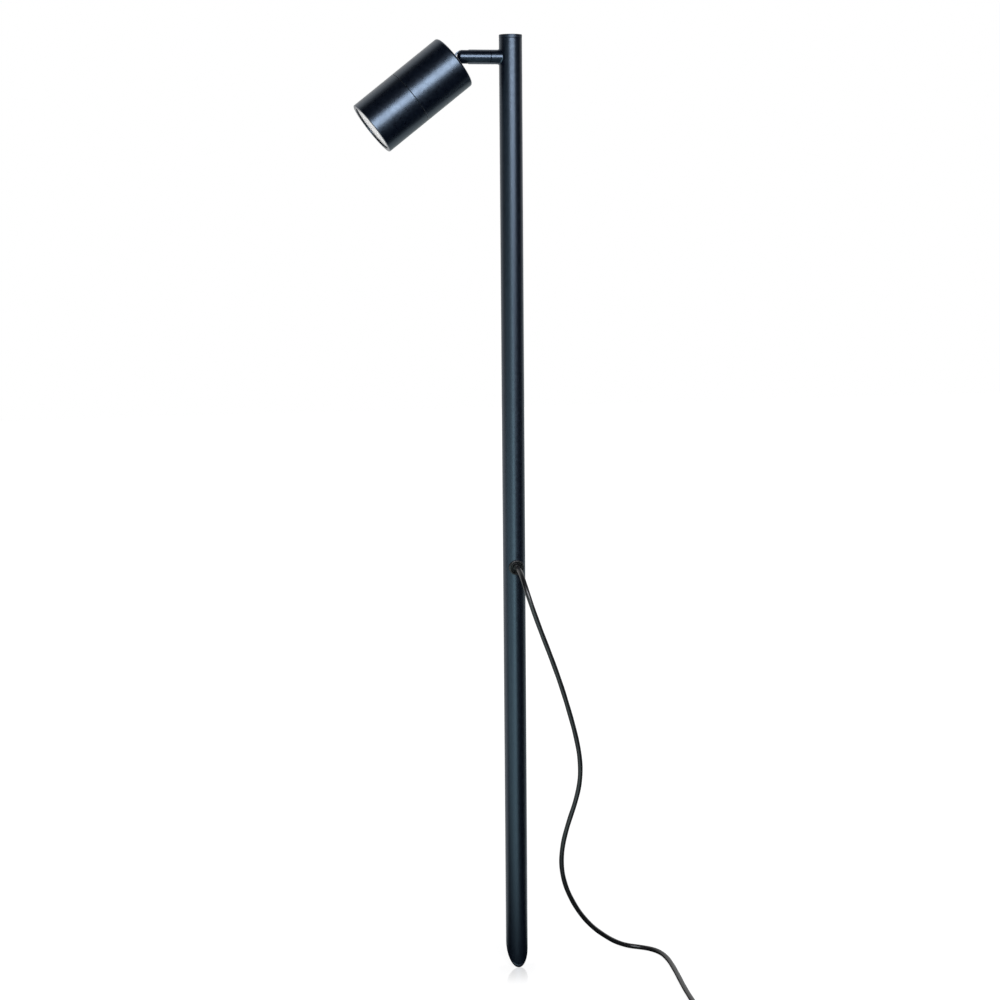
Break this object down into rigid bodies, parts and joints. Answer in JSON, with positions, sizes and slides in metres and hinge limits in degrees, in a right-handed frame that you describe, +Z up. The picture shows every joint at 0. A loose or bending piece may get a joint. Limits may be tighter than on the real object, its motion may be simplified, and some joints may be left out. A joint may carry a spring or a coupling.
{
  "type": "garden spike spotlight",
  "caption": "Garden spotlight on a slim spike pole: swivelling arm, tilting cylindrical lamp head with a screw-off front, cord out of a grommet.",
  "frame": {"origin": "on the pole's axis, level with the lowest point of the tip", "axes": "+Z up along the pole, the arm points along -X, the grommet and the lowest point of the tip face -Y"},
  "size_m": [0.3458, 0.2903, 1.05],
  "materials": {
    "coated_steel": "satin black powder coat",
    "coated_aluminium": "satin black powder coat",
    "black_steel": "black oxide",
    "stainless_steel": "satin",
    "black_rubber": "matt",
    "cord_sheath": "semi-matt extruded sheath",
    "black_nylon": "moulded",
    "white_nylon": "moulded",
    "core_insulation": "brown and blue, extruded",
    "heat_sleeve": "woven heat sleeve",
    "tinned_copper": "tinned",
    "brass": "turned",
    "white_ceramic": "unglazed",
    "lamp_shell": "bright",
    "lamp_lens_glass": "frosted",
    "front_glass": "clear, toughened"
  },
  "bodies": {
    "pole": {"pole_tube": "coated_steel", "top_cap": "coated_aluminium", "arm_boss": "coated_steel", "swivel_grub_screw": "black_steel", "cable_grommet": "black_rubber", "inner_cable": "cord_sheath", "strain_tie": "black_nylon", "supply_cable": "cord_sheath", "cable_coil": "cord_sheath", "coil_tie": "black_nylon", "lead_cores": "core_insulation", "core_ferrules": "tinned_copper"},
    "arm": {"arm_rod": "coated_aluminium", "swivel_oring": "black_rubber", "pivot_screw": "stainless_steel", "knuckle_washers": "white_nylon", "arm_cable": "cord_sheath"},
    "head": {"tilt_tongue": "black_steel", "stud_gasket": "black_rubber", "stud_locknut": "brass", "rear_housing": "coated_aluminium", "housing_oring": "black_rubber", "holder_bracket": "stainless_steel", "lamp_holder": "white_ceramic", "holder_screws": "stainless_steel", "head_leads": "heat_sleeve", "lamp_body": "lamp_shell", "lamp_lens": "lamp_lens_glass", "lamp_pins": "tinned_copper"},
    "bezel": {"front_bezel": "coated_aluminium", "glass_gasket": "black_rubber", "front_glass": "front_glass", "glass_circlip": "stainless_steel"}
  },
  "joints": [
    {"name": "arm_swivel", "type": "hinge", "parent": "pole", "child": "arm", "pos_m": [-0.0226, 0, 1.0264], "axis": [-1, 0, 0], "range_deg": [-170, 170]},
    {"name": "head_tilt", "type": "hinge", "parent": "arm", "child": "head", "pos_m": [-0.055, 0, 1.0264], "axis": [0, 1, 0], "range_deg": [-52, 128]},
    {"name": "bezel_off", "type": "slide", "parent": "head", "child": "bezel", "axis": [-0.788, 0, -0.6157], "range_m": [0, 0.06]}
  ]
}
